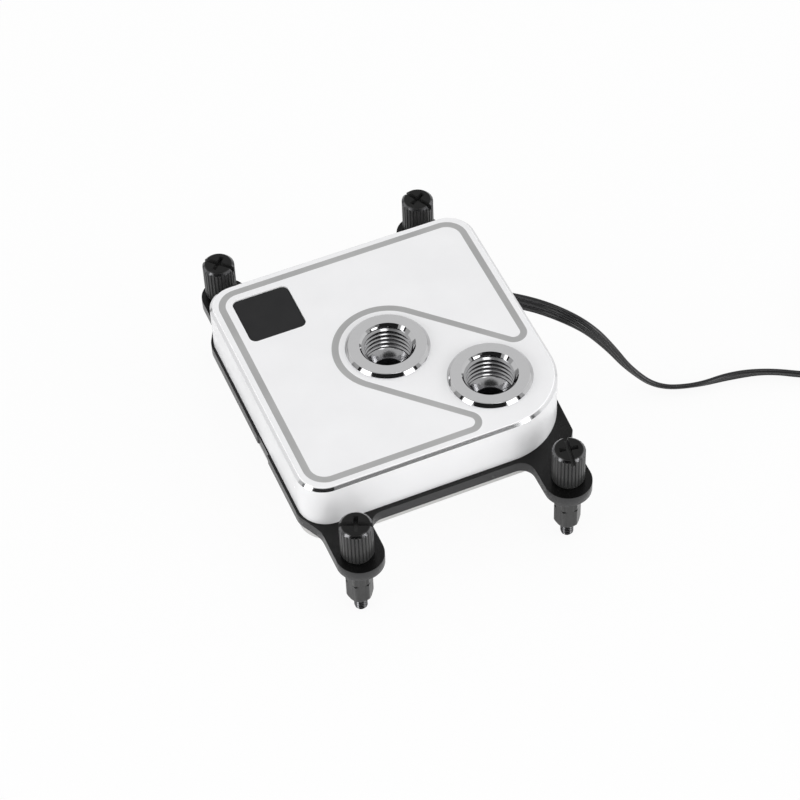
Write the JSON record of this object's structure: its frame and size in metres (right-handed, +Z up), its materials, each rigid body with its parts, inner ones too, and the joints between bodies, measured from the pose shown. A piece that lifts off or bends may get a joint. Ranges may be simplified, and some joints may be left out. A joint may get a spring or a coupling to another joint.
{
  "type": "liquid cooling cold plate",
  "caption": "Processor water block: a square white cover with light line and two threaded ports on a black bracket with thumbscrews, standoffs and a light lead.",
  "frame": {"origin": "centre of the copper contact face that presses on the processor", "axes": "+Z up out of the port side; +Y along the 90 mm spacing of the socket holes; +X along the 54 mm spacing, towards the side where the light lead leaves"},
  "size_m": [0.1919, 0.1008, 0.0352],
  "materials": {
    "white_cover": "satin white",
    "nickel_plate": "nickel-plated copper",
    "black_steel": "matt black",
    "black_acetal": "machined",
    "seal_rubber": "smooth",
    "stainless": "brushed",
    "steel_screw": "plain",
    "circuit_board": "black solder mask",
    "led_package": "gloss",
    "frosted_guide": "frosted",
    "badge_black": "matt",
    "chrome_collar": "polished plating",
    "black_screw": "satin black",
    "black_standoff": "satin black",
    "black_lead": "soft",
    "black_plastic": "moulded"
  },
  "bodies": {
    "root": {"cold_plate": "nickel_plate", "plate_screws": "steel_screw", "mounting_bracket": "black_steel", "flow_block": "black_acetal", "main_seal": "seal_rubber", "jet_plate": "stainless", "jet_insert": "seal_rubber", "led_board": "circuit_board", "leds": "led_package", "light_guide": "frosted_guide", "badge_plate": "badge_black", "top_cover": "white_cover", "lead_grommet": "seal_rubber", "lead": "black_lead", "lead_coil": "black_lead", "lead_tie": "black_lead", "lead_plug": "black_plastic", "inlet_port": "chrome_collar", "inlet_seal": "seal_rubber", "outlet_port": "chrome_collar", "outlet_seal": "seal_rubber", "thumbscrew_front_left": "black_screw", "standoff_front_left": "black_standoff", "thumbscrew_front_right": "black_screw", "standoff_front_right": "black_standoff", "thumbscrew_back_left": "black_screw", "standoff_back_left": "black_standoff", "thumbscrew_back_right": "black_screw", "standoff_back_right": "black_standoff"}
  },
  "joints": []
}
